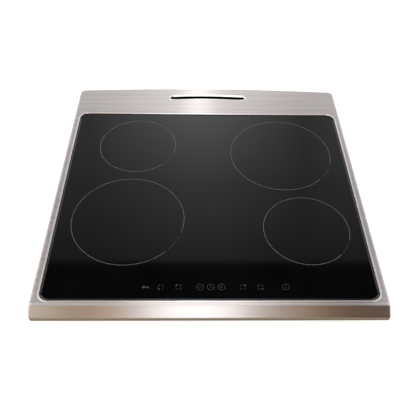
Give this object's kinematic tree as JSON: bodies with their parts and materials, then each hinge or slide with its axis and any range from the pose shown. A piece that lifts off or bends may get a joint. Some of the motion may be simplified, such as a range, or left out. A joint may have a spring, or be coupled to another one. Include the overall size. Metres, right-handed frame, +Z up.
{
  "type": "induction cooktop",
  "caption": "Electric induction cooktop: black glass-ceramic plate with round cooking zones and touch keys in a brushed stainless top with a sloping nose and a curved rear vent slot.",
  "frame": {"origin": "middle of the bounding box bottom, on the underside of the bottom tray", "axes": "+X to the user's right, +Y from the front nose to the rear vent, +Z up out of the glass"},
  "size_m": [0.6, 0.612, 0.063],
  "materials": {
    "brushed_stainless": "brushed lengthwise, satin",
    "black_glass_ceramic": "polished black, opaque",
    "black_silicone": "matt",
    "galvanised_steel": "zinc coated",
    "black_enamelled_steel": "matt black enamel",
    "zinc_plated_steel": "bright zinc plate",
    "spring_steel": "blued",
    "sensor_ceramic": "matt",
    "natural_nylon": "moulded",
    "circuit_board": "solder mask",
    "component_plastic": "moulded",
    "film_capacitor": "moulded box",
    "dark_abs": "fine moulded grain",
    "fan_plastic": "moulded",
    "conductive_rubber": "matt",
    "brass_screw": "turned",
    "black_rubber": "matt",
    "wire_sleeve": "braided glass sleeve",
    "ribbon_pvc": "flat cable",
    "mica_plastic": "glass-filled moulding",
    "copper_litz": "enamelled stranded copper",
    "ferrite": "sintered",
    "mica_sheet": "pressed sheet",
    "aluminium_sheet": "rolled",
    "aluminium_extrusion": "extruded"
  },
  "bodies": {
    "cooktop": {"board_carrier_left": "dark_abs", "board_carrier_right": "dark_abs", "bottom_tray": "galvanised_steel", "cable_clamp": "natural_nylon", "cable_grommet": "black_rubber", "capacitors_left": "film_capacitor", "capacitors_right": "film_capacitor", "coil_ferrites_front_left": "ferrite", "coil_ferrites_front_right": "ferrite", "coil_ferrites_rear_left": "ferrite", "coil_ferrites_rear_right": "ferrite", "coil_former_front_left": "mica_plastic", "coil_former_front_right": "mica_plastic", "coil_former_rear_left": "mica_plastic", "coil_former_rear_right": "mica_plastic", "coil_leads": "wire_sleeve", "coil_mat_front_left": "mica_sheet", "coil_mat_front_right": "mica_sheet", "coil_mat_rear_left": "mica_sheet", "coil_mat_rear_right": "mica_sheet", "coil_plate_left": "aluminium_sheet", "coil_plate_right": "aluminium_sheet", "coil_springs": "spring_steel", "coil_winding_front_left": "copper_litz", "coil_winding_front_right": "copper_litz", "coil_winding_rear_left": "copper_litz", "coil_winding_rear_right": "copper_litz", "fan_housing_left": "fan_plastic", "fan_housing_right": "fan_plastic", "filter_board": "circuit_board", "filter_parts": "component_plastic", "front_rail": "galvanised_steel", "glass_ceramic": "black_glass_ceramic", "glass_seal": "black_silicone", "heat_sensors": "sensor_ceramic", "heat_sink_left": "aluminium_extrusion", "heat_sink_right": "aluminium_extrusion", "plate_pillars": "natural_nylon", "power_board_left": "circuit_board", "power_board_right": "circuit_board", "rear_rail": "galvanised_steel", "ribbon_cable": "ribbon_pvc", "side_rail_left": "galvanised_steel", "side_rail_right": "galvanised_steel", "supply_wires": "wire_sleeve", "terminal_block": "natural_nylon", "terminal_box": "dark_abs", "terminal_screws": "brass_screw", "top_frame": "brushed_stainless", "touch_board": "circuit_board", "touch_carrier": "dark_abs", "touch_pads": "conductive_rubber", "transistors_left": "component_plastic", "transistors_right": "component_plastic", "tray_screws": "zinc_plated_steel", "vent_duct": "black_enamelled_steel"},
    "fan_left": {"fan_rotor_left": "fan_plastic"},
    "fan_right": {"fan_rotor_right": "fan_plastic"},
    "terminal_cover": {"terminal_cover": "dark_abs"}
  },
  "joints": [
    {"name": "fan_left_spin", "type": "hinge", "parent": "cooktop", "child": "fan_left", "pos_m": [-0.175, 0.125, 0.018], "axis": [0, 0, 1], "continuous": true},
    {"name": "fan_right_spin", "type": "hinge", "parent": "cooktop", "child": "fan_right", "pos_m": [0.175, 0.125, 0.018], "axis": [0, 0, 1], "continuous": true},
    {"name": "terminal_cover_hinge", "type": "hinge", "parent": "cooktop", "child": "terminal_cover", "pos_m": [0.205, 0.2487, 0.011], "axis": [-1, 0, 0], "range_deg": [0, 95]}
  ]
}
